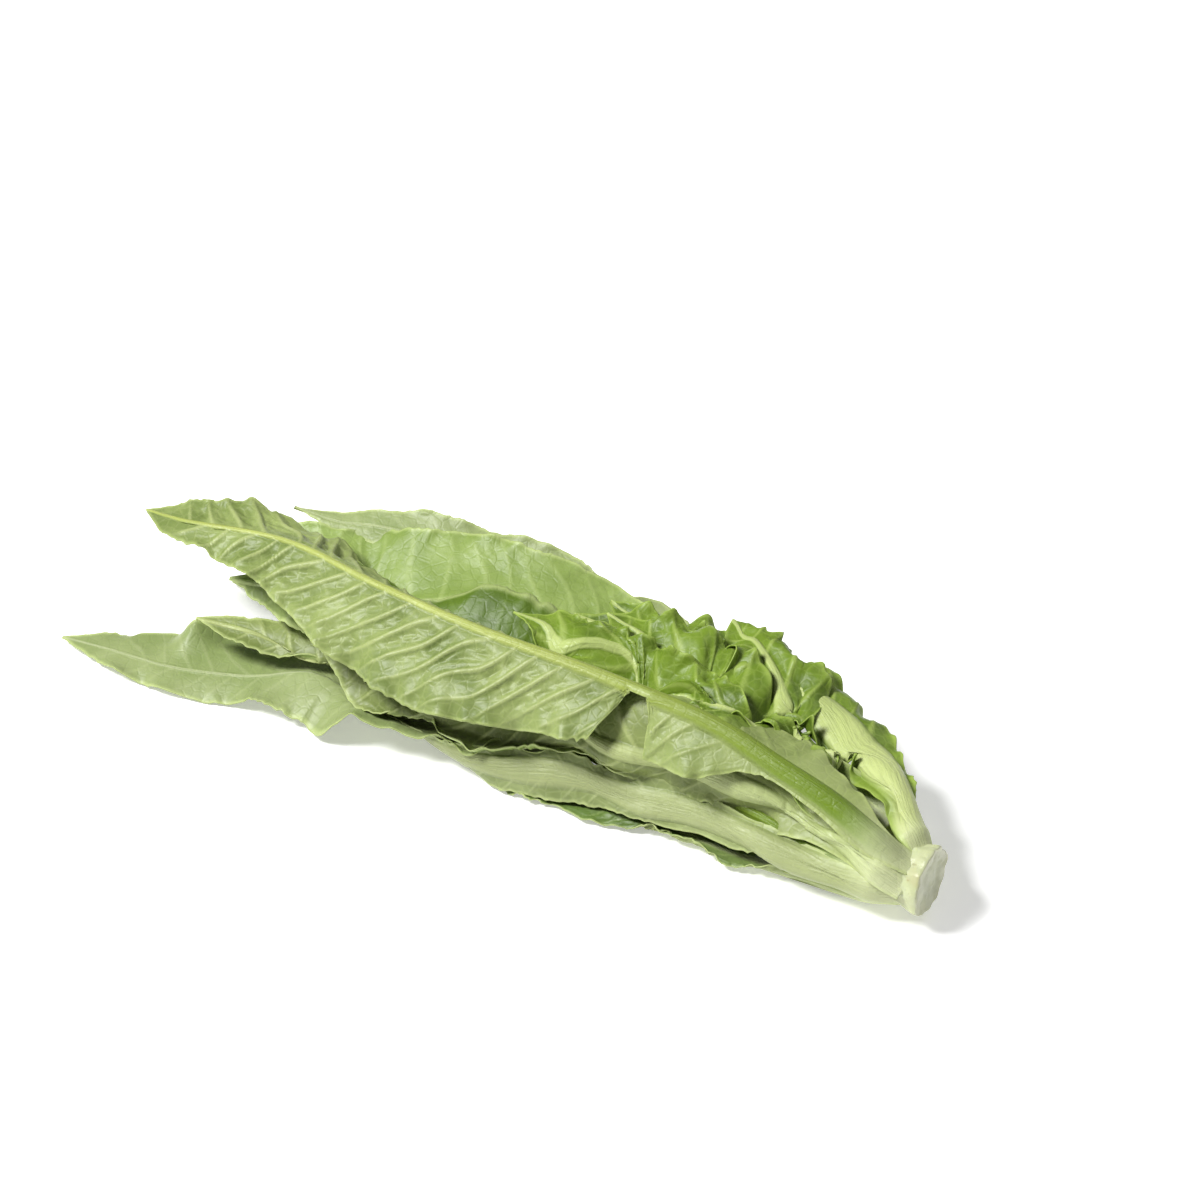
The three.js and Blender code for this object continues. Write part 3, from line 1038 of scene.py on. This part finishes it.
class Leaf:
    """Builds one leaf's mesh and dresses it."""

    def __init__(self, shape: LeafShape, shift: np.ndarray) -> None:
        """Takes the leaf's shape.

        Args:
            shape: the leaf's shape.
            shift: how pressing moved it.
        """
        self.shape = shape
        self.shift = shift

    def build(self) -> bpy.types.Object:
        """Makes the leaf.

        Returns:
            The finished leaf.
        """
        plan = self.shape.plan
        grid = self.shape.surface(plan.rows, plan.columns, self.shift, True)
        piece = new_grid(f"{plan.name}_leaf_blade", plan.rows, plan.columns)
        mesh = piece.data
        points = grid["point"]
        points[..., 2] = np.maximum(points[..., 2], TABLE_GAP)
        world = np.array(self.shape.cut_face) + points * MM
        mesh.vertices.foreach_set("co", world.astype(np.float32).ravel())
        layers = np.stack([grid[key] for key in ("rib", "vein", "rim", "along")], axis=-1)
        paint(mesh, layers.reshape(-1, 4))
        self._lay_flat_map(mesh, grid)
        for skin in Skin:  # before the thickening, which points its new faces at these slots
            finish = plan.face_finish if skin is Skin.FACE else plan.finish
            mesh.materials.append(finish_material(finish, skin))
        self._thicken(piece, grid["thickness"])
        smooth_and_place(piece, plan.name)
        LOG.info("leaf %s: %d faces", plan.name, len(mesh.polygons))
        return piece

    def _lay_flat_map(self, mesh: bpy.types.Mesh, grid: dict[str, np.ndarray]) -> None:
        """Writes the leaf's own UV map, in decimetres along and across."""
        flat = np.stack([grid["along"] * self.shape.length, grid["across"]], axis=-1)
        flat = flat.reshape(-1, 2) / 100.0
        mesh.uv_layers[0].name = FLAT_MAP
        corners = np.empty(len(mesh.loops), dtype=np.int32)
        mesh.loops.foreach_get("vertex_index", corners)
        mesh.uv_layers[FLAT_MAP].data.foreach_set("uv", flat[corners].astype(np.float32).ravel())

    def _thicken(self, piece: bpy.types.Object, thickness: np.ndarray) -> None:
        """Thickens the blade towards its back. The slots of its skins have to be there already."""
        most = float(thickness.max())
        group = piece.vertex_groups.new(name="thickness")
        shares = (thickness / most).reshape(-1)
        for index, share in enumerate(shares.tolist()):
            group.add((index,), share, "REPLACE")
        solid = piece.modifiers.new("thickness", "SOLIDIFY")
        solid.thickness = most * MM
        solid.offset = -1.0
        solid.vertex_group = group.name
        solid.use_rim = True
        solid.material_offset = Skin.BACK.value
        solid.material_offset_rim = Skin.RIM.value
        apply_modifier(piece, solid.name)
        piece.vertex_groups.clear()


_MATERIALS: dict[tuple[str, Skin], bpy.types.Material] = {}


def finish_material(finish: LeafFinish, skin: Skin) -> bpy.types.Material:
    """One material for each finish and side, shared by the leaves that have it.

    Args:
        finish: the finish.
        skin: the side.

    Returns:
        The material.
    """
    key = (finish.name, skin)
    if key not in _MATERIALS:
        _MATERIALS[key] = finish.material(skin)
    return _MATERIALS[key]


# ---- The stem -----------------------------------------------------------------------------------


@dataclass
class Stem:
    """The short cut stem that every leaf leaves from."""

    radius: float
    length: float
    axis_height: float
    apex_radius: float = 4.0
    draw_in: float = 2.2  # 1 is a cone, more draws in nearer the cut
    rings: int = 120
    around: int = 160
    finish: StemFinish = field(default_factory=StemFinish)

    def build(self, cut_face: Vector) -> bpy.types.Object:
        """Makes the stem.

        Args:
            cut_face: middle of the cut face, at the height of the table, in metres.

        Returns:
            The finished stem.
        """
        deselect_all()
        bpy.ops.mesh.primitive_uv_sphere_add(segments=self.around, ring_count=self.rings, radius=1.0)
        piece = bpy.context.object
        piece.name = "cut_stem"
        mesh = piece.data
        co = np.empty(len(mesh.vertices) * 3)
        mesh.vertices.foreach_get("co", co)
        ball = co.reshape(-1, 3)
        place, layers = self._shape(ball)
        mesh.vertices.foreach_set("co", (np.array(cut_face) + place * MM).astype(np.float32).ravel())
        paint(mesh, layers)
        mesh.materials.append(self.finish.material())
        smooth_and_place(piece, "stem_core")
        LOG.info("stem: %d faces", len(mesh.polygons))
        return piece

    def _shape(self, ball: np.ndarray) -> tuple[np.ndarray, np.ndarray]:
        """Turns a ball into the stem.

        Args:
            ball: points of a unit ball whose poles lie on its Z axis.

        Returns:
            The stem's points in millimetres and its dressing layers.
        """
        rng = np.random.default_rng(5)
        angle = np.arctan2(ball[:, 1], ball[:, 0])
        turned = np.arccos(np.clip(ball[:, 2], -1, 1)) / math.pi
        face = 0.26  # share of the rings that lie on the cut face
        on_face = np.clip(turned / face, 0.0, 1.0)
        down = np.clip((turned - face) / (1.0 - face), 0.0, 1.0)
        away = down**1.15 * self.length
        body = self.apex_radius + (self.radius - self.apex_radius) * (1 - down) ** self.draw_in
        body *= np.sqrt(np.clip((1.0 - down) / 0.08, 0.0, 1.0))
        edge = 1.0 - 0.09 * np.exp(-away / 1.3)
        around = angle / (2 * math.pi)
        lobes = 0.45 * np.sin(5 * angle + 0.6) + 0.3 * np.sin(9 * angle + 2.1) + 0.2 * np.sin(14 * angle)
        radius = np.where(turned < face, self.radius * 0.91 * on_face, body * edge)
        radius = radius + lobes * np.clip(radius / self.radius, 0, 1) * 0.9
        rough = lattice_noise(around * 40 + 3, away * 0.4 + on_face * 6, rng)
        radius = radius + 0.25 * rough * (turned > 0.05)
        hollow = 0.9 * (1 - on_face**2) + 0.5 * lattice_noise(
            radius * np.cos(angle) / 3.2 + 30, radius * np.sin(angle) / 3.2 + 30, rng
        ) * (turned < face)
        along = np.where(turned < face, hollow - 0.5, away)
        x = -along
        y = radius * np.sin(angle)
        z = self.axis_height + radius * np.cos(angle)
        rim = np.exp(-((np.where(turned < face, (1 - on_face) * 5, away - 1.5) / 1.6) ** 2))
        patch = np.clip(lattice_noise(around * 14 + 9, away * 0.25 + 3, rng) * 1.6, 0, 1)
        scar = np.clip(0.28 * rim + patch * np.exp(-away / 9.0) * (turned >= face), 0, 1)
        layers = np.stack([(turned < face) * 1.0, scar, np.zeros_like(x), np.ones_like(x)], axis=1)
        return np.stack([x, y, z], axis=1), layers


# ---- The head -----------------------------------------------------------------------------------


def both(*values: float) -> tuple[Table, Table]:
    """The same list for both sides of a leaf."""
    return values, values


HEAD = (
    LeafPlan(
        name="top_leaf",
        route=(
            (5, -5, 27), (18, -6, 32), (40, -2, 39), (64, 1, 44), (90, 4, 49), (134, 4, 53), (194, 2, 56),
            (238, 6, 56), (285, 13, 55), (332, 9, 50), (352, 13, 45),
        ),
        facing=(12, 14, 12, 6, 4, 4, 4, 0, -8),
        widths=(
            (4.5, 7, 6, 7, 21, 24, 26, 30, 34, 38, 37, 32, 27, 21, 15, 10, 4),
            (4.5, 8, 15, 21, 22, 22, 26, 28, 30, 30, 30, 28, 26, 24, 21, 15, 4),
        ),
        bends=((10, 10, 15, 20, 20, 18, 12, 5, 0), (10, 20, 25, 30, 30, 30, 20, 0, -25)),
        folds=((5, 10, 20, 26, 28, 26, 22, 12, 6), (0, 5, 30, 50, 55, 50, 35, 5, -10)),
        tears=((0, 121, 11, 1.1),), ruffle=2.8, ruffle_wave=40, frill=1.3, blister=2.5, vein_gap=11.5,
        stalk_width=11.5, stalk_height=4.5, rows=430, columns=104, seed=11, stiff=1.0,
    ),
    LeafPlan(
        name="near_upper_leaf",
        route=(
            (5, -11, 20), (20, -10, 26), (42, -8, 29), (66, -7, 31), (94, -8, 32), (140, -8, 31),
            (190, -7, 30), (235, -1, 32), (272, 4, 34),
        ),
        facing=(58, 60, 64, 66, 62, 55, 45, 35, 30),
        widths=((4.5, 9, 14, 18, 20, 20, 18, 13, 3), (4.5, 10, 15, 20, 23, 23, 20, 14, 3)),
        bends=((10, 5, 0, 0, 5, 10, 10), (20, 30, 35, 35, 30)),
        rolls=((0, 0, 0, -20, -90, -120, -40, 0), (0, 0, 0)), finish=GREY_BACK, blister=0.7,
        stalk_width=14, stalk_height=4.5, stalk_taper=1.3, rows=360, columns=90, seed=23, stiff=0.8,
    ),
    LeafPlan(
        name="near_lower_leaf",
        route=(
            (7, -9, 15), (20, -10, 15), (40, -11, 14.5), (87, -12, 13.5), (120, -13, 13), (153, -16, 12),
            (188, -18, 11), (220, -13, 9), (260, -4, 7),
        ),
        facing=(80, 74, 70, 68, 72, 90, 125, 150),
        widths=((4.5, 8, 9, 9, 10, 10, 9, 7, 3), (4.5, 8, 9, 10, 11, 11, 9, 7, 3)),
        bends=((25, 20, 15, 15), (15, 10, 10, 20)), finish=STALK_BACK, blister=0.3, ruffle=1.2, frill=0.7,
        stalk_width=15, stalk_height=4.5, stalk_taper=0.45, rows=320, columns=70, seed=37, stiff=0.9,
    ),
    LeafPlan(
        name="ground_leaf",
        route=(
            (12, -8, 18), (60, -6, 20), (110, -8, 19), (160, -11, 17), (200, -15, 12), (235, -13, 9),
            (266, -12, 8), (292, -17, 6), (318, -24, 5), (345, -26, 4), (367, -29, 4),
        ),
        facing=(85, 92, 105, 130, 165, 182, 188, 186, 184),
        widths=((9, 9, 10, 14, 22, 26, 26, 20, 4), (9, 9, 10, 13, 17, 19, 14, 12, 4)),
        bends=((0, 0, 0, 0, -8, -10, -8, 5, 0), (0, 0, 0, 5, 12, 10, -5, -5, 0)), face_finish=PALE_FACE,
        blister=-0.5, ruffle=4.2, ruffle_wave=34, stalk_width=12, stalk_height=3.0, rows=400, columns=90,
        seed=41, stiff=0.8,
    ),
    LeafPlan(
        name="shaded_leaf",
        route=(
            (26, -2, 24), (80, -2, 28), (150, -3, 29), (219, -8, 23), (252, -7, 20), (285, -6, 21),
            (314, -10, 21),
        ),
        facing=(50, 45, 40, 38, 35, 30, 25),
        widths=((8, 10, 14, 18, 20, 18, 15, 9, 3), (8, 10, 14, 18, 20, 18, 15, 10, 3)),
        bends=((-10, -20, -30, -35, -30), (20, 25, 25, 20, 10)), finish=GREY_BACK, ruffle=3.2,
        ruffle_wave=30, blister=0.8, stalk_width=13, stalk_height=3, columns=70, seed=53,
    ),
    # Its face is partly painted shade, for lying under the other leaves.
    LeafPlan(
        name="bottom_leaf",
        route=((9, -3, 6), (30, -5, 4), (60, -6, 3), (125, -5, 2.5), (200, 0, 2.5), (262, 6, 2.5)),
        facing=(150, 164, 174, 178, 180, 180),
        widths=((6, 12, 15, 17, 18, 17, 14, 8, 3), (5, 11, 16, 18, 20, 20, 16, 9, 3)),
        bends=((20, 25, 30, 30), (0, 0, 0)), finish=GREY_BACK, face_finish=DARK_FACE, ruffle=2.0,
        tooth=1.6, stalk_width=15, stalk_height=2.5, rows=240, columns=60, seed=67, stiff=0.5,
    ),
    LeafPlan(
        name="far_petiole_leaf",
        route=(
            (4, 3, 27), (13, 8, 29), (24, 20, 32), (36, 33, 33), (52, 43, 35), (74, 50, 37),
            (105, 52, 39), (140, 50, 41), (175, 46, 42),
        ),
        facing=(-8, 0, 2, 0, -5, -8, 0, 5),
        widths=((5, 9, 13, 17, 22, 22, 18, 10, 3), (5, 8, 10, 13, 18, 20, 17, 10, 3)),
        bends=((5, -20, -30, -20, 10, 30), (30, 30, 30, 20)), finish=BRIGHT_HEART,
        face_finish=BRIGHT_HEART, ruffle=4.0, ruffle_wave=26, frill=2.2, frill_wave=11, crumple=4.0,
        crumple_size=22, blister=1.2, stalk_width=16, stalk_height=5, stalk_taper=1.3, rows=320,
        columns=90, seed=71, stiff=0.8,
    ),
    # Its face is darkened partly as painted shade below the top leaf's rib.
    LeafPlan(
        name="far_smooth_leaf",
        route=((24, 6, 24), (60, 16, 30), (120, 23, 37), (180, 25, 41), (240, 24, 43), (290, 18, 43)),
        facing=(212, 210, 206, 200, 194),
        widths=((8, 10, 13, 16, 19, 20, 18, 12, 3), (8, 10, 14, 18, 20, 20, 16, 11, 3)),
        bends=((0, 5, 15, 25, 20), (0, 10, 15)), rolls=((0, -30, -60, -70, -50, -20, 0), (0,)),
        face_finish=DARK_GREEN_SHADED_FACE, ruffle=2.4, ruffle_wave=46, blister=-0.6, stalk_width=8, stalk_height=3,
        rows=320, seed=83,
    ),
    LeafPlan(
        name="far_veined_leaf",
        route=(
            (15, 9, 20), (60, 26, 26), (120, 40, 33), (180, 46, 38), (240, 42, 40), (290, 34, 38),
            (322, 30, 36),
        ),
        facing=(215, 208, 204, 200, 198),
        widths=((9, 16, 19, 22, 24, 22, 18, 12, 3), (9, 15, 19, 22, 24, 24, 20, 12, 3)),
        bends=((0, 5, 5, 5), (0, 5, 10)), ruffle=2.8, ruffle_wave=50, blister=-1.0, stalk_width=8,
        stalk_height=3, rows=340, columns=96, seed=97,
    ),
    LeafPlan(
        name="far_pale_leaf",
        route=((14, 9, 16), (60, 30, 20), (120, 50, 26), (180, 60, 34), (240, 58, 41), (304, 46, 44)),
        facing=(220, 215, 210, 205, 200),
        widths=((8, 10, 14, 18, 18, 16, 13, 9, 3), (8, 10, 14, 18, 18, 16, 13, 8, 3)),
        bends=both(0, 5, 10), face_finish=PALE_FACE, ruffle=2.2, blister=-0.5, stalk_width=8,
        stalk_height=3, rows=260, columns=60, seed=101,
    ),
    LeafPlan(
        name="far_lower_leaf",
        route=((5, 10, 13), (60, 30, 12), (130, 54, 12), (200, 66, 13), (262, 64, 11), (312, 56, 8)),
        facing=(262, 240, 225, 212, 205),
        widths=((8, 10, 14, 18, 20, 20, 16, 10, 3), (8, 10, 14, 18, 18, 17, 14, 9, 3)),
        bends=((0, 5, 20), (0, 10, 20)), finish=GREY_BACK, ruffle=2.6, stalk_height=5, rows=260,
        columns=64, seed=113, stiff=0.3,
    ),
    LeafPlan(
        name="far_ground_leaf",
        route=((8, 6, 9), (60, 20, 5), (130, 34, 4), (200, 42, 4), (270, 42, 3), (330, 36, 3)),
        facing=(205, 195, 185, 180, 180),
        widths=((8, 10, 16, 22, 24, 22, 18, 10, 3), (8, 10, 14, 18, 20, 20, 16, 9, 3)),
        bends=((10, 10, 10), (0, 0, 0)), finish=GREY_BACK, ruffle=2.4, stalk_width=17, stalk_height=3.5,
        rows=240, columns=60, seed=127, stiff=0.3,
    ),
    # Its back is painted dark: painted shade under the top leaf.
    LeafPlan(
        name="under_tip_leaf",
        route=((30, 2, 26), (70, 5, 32), (130, 8, 38), (200, 12, 40), (258, 8, 38), (309, 7, 31)),
        facing=(10, 12, 18, 25, 25),
        widths=((7, 9, 12, 16, 18, 18, 15, 11, 4), (7, 9, 12, 15, 16, 15, 13, 9, 3)),
        bends=both(20, 20, 20), finish=PAINTED_SHADE_BACK, ruffle=2.8, ruffle_wave=28, tooth=1.8, stalk_width=12,
        stalk_height=2.5, rows=240, columns=60, seed=131,
    ),
    # Its back is painted dark: painted shade in the gap between the near leaves.
    LeafPlan(
        name="inner_near_leaf",
        route=((22, -5, 19), (60, -5, 19), (100, -5, 20), (150, -6, 20), (205, -5, 18), (262, -4, 14)),
        facing=(78, 80, 84, 100, 125), widths=both(6, 10, 14, 16, 16, 15, 12, 8, 3), bends=both(10, 10),
        finish=PAINTED_SHADE_BACK, stalk_width=11, stalk_height=2.5, rows=160, columns=44, seed=137,
    ),
    LeafPlan(
        name="inner_far_leaf",
        route=((40, 8, 20), (90, 22, 24), (150, 32, 26), (205, 34, 26), (258, 32, 24)),
        facing=(215, 205, 195, 190), widths=both(6, 8, 13, 17, 18, 17, 13, 9, 3), bends=both(0, 5),
        finish=GREY_BACK, stalk_width=11, stalk_height=2.5, rows=180, columns=50, seed=139,
    ),
    # Its face is partly painted shade, for lying under the other leaves.
    LeafPlan(
        name="inner_lower_leaf",
        route=((26, 0, 10), (80, 6, 9), (140, 12, 9), (205, 16, 9), (280, 18, 8)),
        facing=(180, 180, 180, 180), widths=both(7, 9, 15, 20, 22, 21, 17, 10, 3), bends=both(0, 0),
        finish=GREY_BACK, face_finish=DARK_FACE, stalk_width=13, stalk_height=2.5, rows=180, columns=50,
        seed=149,
    ),
    LeafPlan(
        name="heart_leaf_1",
        route=((44, 4, 26), (62, 12, 34), (84, 24, 40), (110, 34, 45), (138, 40, 46), (160, 44, 45)),
        facing=(0, 8, 12, 5, -5), widths=((5, 10, 14, 18, 19, 17, 12, 3), (5, 10, 14, 17, 18, 16, 11, 3)),
        bends=((20, 0, -40, -60, -30), (20, 30, 20, -30)), finish=BRIGHT_HEART, face_finish=BRIGHT_HEART,
        ruffle=4.5, ruffle_wave=24, frill=2.0, frill_wave=10, crumple=7.0, crumple_size=19,
        stalk_width=11, stalk_height=3, rows=240, columns=90, seed=151,
    ),
    LeafPlan(
        name="heart_leaf_2",
        route=((50, 8, 24), (66, 26, 34), (84, 44, 42), (102, 58, 46), (118, 68, 44)),
        facing=(-10, 0, 8, 10), widths=((6, 9, 14, 17, 17, 15, 10, 3), (6, 8, 13, 16, 16, 14, 10, 3)),
        bends=((0, -20, -40, -20), (20, 40, 60)), finish=BRIGHT_HEART, face_finish=BRIGHT_HEART,
        ruffle=4.0, ruffle_wave=22, frill=2.0, frill_wave=10, crumple=7.0, crumple_size=18,
        stalk_width=10, stalk_height=3, rows=220, columns=84, seed=157,
    ),
    LeafPlan(
        name="heart_leaf_3",
        route=((44, 4, 28), (78, 10, 38), (104, 15, 44), (135, 20, 48), (165, 24, 50), (190, 26, 48)),
        facing=(5, 0, -8, -15), widths=((6, 8, 12, 14, 14, 12, 9, 3), (6, 8, 13, 17, 18, 16, 11, 3)),
        bends=((0, -10, -20), (0, -10, -20, 10)), finish=BRIGHT_HEART, face_finish=BRIGHT_HEART,
        ruffle=3.5, ruffle_wave=26, frill=1.8, frill_wave=9, crumple=5.5, crumple_size=20, tooth=1.6,
        stalk_width=10, stalk_height=3, rows=240, columns=84, seed=163,
    ),
    LeafPlan(
        name="heart_leaf_4",
        route=((52, 6, 24), (84, 26, 32), (110, 40, 38), (140, 52, 42), (166, 60, 42)),
        facing=(195, 190, 185, 180), widths=both(6, 8, 13, 16, 16, 14, 10, 3),
        bends=((-20, -20, 10), (10, 20, 30)), finish=BRIGHT_HEART, face_finish=BRIGHT_HEART, ruffle=4.0,
        ruffle_wave=24, frill=2.0, frill_wave=10, crumple=4.0, crumple_size=20, stalk_width=10,
        stalk_height=3, rows=220, seed=167,
    ),
)


class LettuceHead:
    """The whole head: the stem and its leaves, laid where the frame's stem is."""

    def __init__(self, plans: Sequence[LeafPlan]) -> None:
        """Reads the stem's place and size from the frame.

        Args:
            plans: every leaf's plan.
        """
        low, high = (Vector(corner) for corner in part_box("stem_core"))
        middle = (low + high) / 2
        self.cut_face = Vector((high.x, middle.y, 0.0))
        self.stem = Stem(
            radius=(high.z - low.z) / 2 / MM, length=(high.x - low.x) / MM, axis_height=middle.z / MM
        )
        self.shapes = [LeafShape(plan, self.cut_face) for plan in plans]

    def build(self) -> list[bpy.types.Object]:
        """Makes every piece.

        Returns:
            The finished pieces.
        """
        shifts = Press(self.shapes).run()
        LOG.info("leaves pressed together")
        leaves = [Leaf(shape, shift).build() for shape, shift in zip(self.shapes, shifts)]
        return [self.stem.build(self.cut_face), *leaves]


# ---- Studio -------------------------------------------------------------------------------------


@dataclass(frozen=True)
class Softbox:
    """A soft square light that looks at the head."""

    name: str
    place: Triple
    aim: Triple
    size: float
    power: float

    def add(self) -> None:
        """Adds the light."""
        deselect_all()
        bpy.ops.object.light_add(type="AREA", location=self.place)
        lamp = bpy.context.object
        lamp.name = self.name
        lamp.data.shape = "SQUARE"
        lamp.data.size = self.size
        lamp.data.energy = self.power
        lamp.rotation_euler = (Vector(self.aim) - Vector(self.place)).to_track_quat("-Z", "Y").to_euler()


@dataclass(frozen=True)
class Studio:
    """The pale table, the soft lights and the camera."""

    floor_size: float = 8.0
    floor_colour: Triple = (0.93, 0.93, 0.93)
    floor_glow: float = 0.34  # keeps the table pale under the head, as a lit table does
    world_colour: Triple = (1.0, 1.0, 1.0)
    world_strength: float = 0.17
    lens: float = 106.26
    eye: Triple = (368.05, -874.86, 881.93)  # from the middle of the cut face, in millimetres
    look: Triple = (-183.56, 80.55, 20.0)

    def build(self, cut_face: Vector) -> None:
        """Adds the floor, the lights and the camera.

        Args:
            cut_face: middle of the stem's cut face, at the height of the table, in metres.
        """
        self._floor()
        self._sky()
        centre = tuple(cut_face + Vector(self.look) * MM)
        x, y, z = centre
        Softbox("key", (x - 0.55, y - 0.6, z + 1.15), centre, 0.42, 30.0).add()
        Softbox("rim", (x + 0.45, y + 0.8, z + 1.0), centre, 0.8, 3.5).add()
        bpy.context.scene.view_settings.view_transform = "Standard"
        self._camera(cut_face)

    def _floor(self) -> None:
        """A wide pale table top."""
        deselect_all()
        bpy.ops.mesh.primitive_plane_add(size=self.floor_size, location=(0, 0, 0))
        floor = bpy.context.object
        floor.name = "table_top"
        table = Shader("table_top").surface(
            Base_Color=self.floor_colour,
            Roughness=0.85,
            Emission_Color=(1.0, 1.0, 1.0),
            Emission_Strength=self.floor_glow,
        )
        floor.data.materials.append(table)

    def _sky(self) -> None:
        """Even white light from all round."""
        world = bpy.data.worlds.new("studio")
        world.use_nodes = True
        sky = world.node_tree.nodes["Background"]
        sky.inputs["Color"].default_value = (*self.world_colour, 1.0)
        sky.inputs["Strength"].default_value = self.world_strength
        bpy.context.scene.world = world

    def _camera(self, cut_face: Vector) -> None:
        """The camera, above the near side and towards the stem."""
        eye = cut_face + Vector(self.eye) * MM
        look = cut_face + Vector(self.look) * MM
        deselect_all()
        bpy.ops.object.camera_add(location=eye)
        camera = bpy.context.object
        camera.rotation_euler = (look - eye).to_track_quat("-Z", "Y").to_euler()
        camera.data.lens = self.lens
        camera.data.sensor_width = 36.0
        bpy.context.scene.camera = camera


def main() -> None:
    """Builds the head and its studio."""
    logging.basicConfig(level=logging.INFO, format="%(message)s")
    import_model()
    head = LettuceHead(HEAD)
    Studio().build(head.cut_face)
    for piece in head.build():
        LOG.info("built %s", piece.name)


if __name__ == "__main__":
    main()
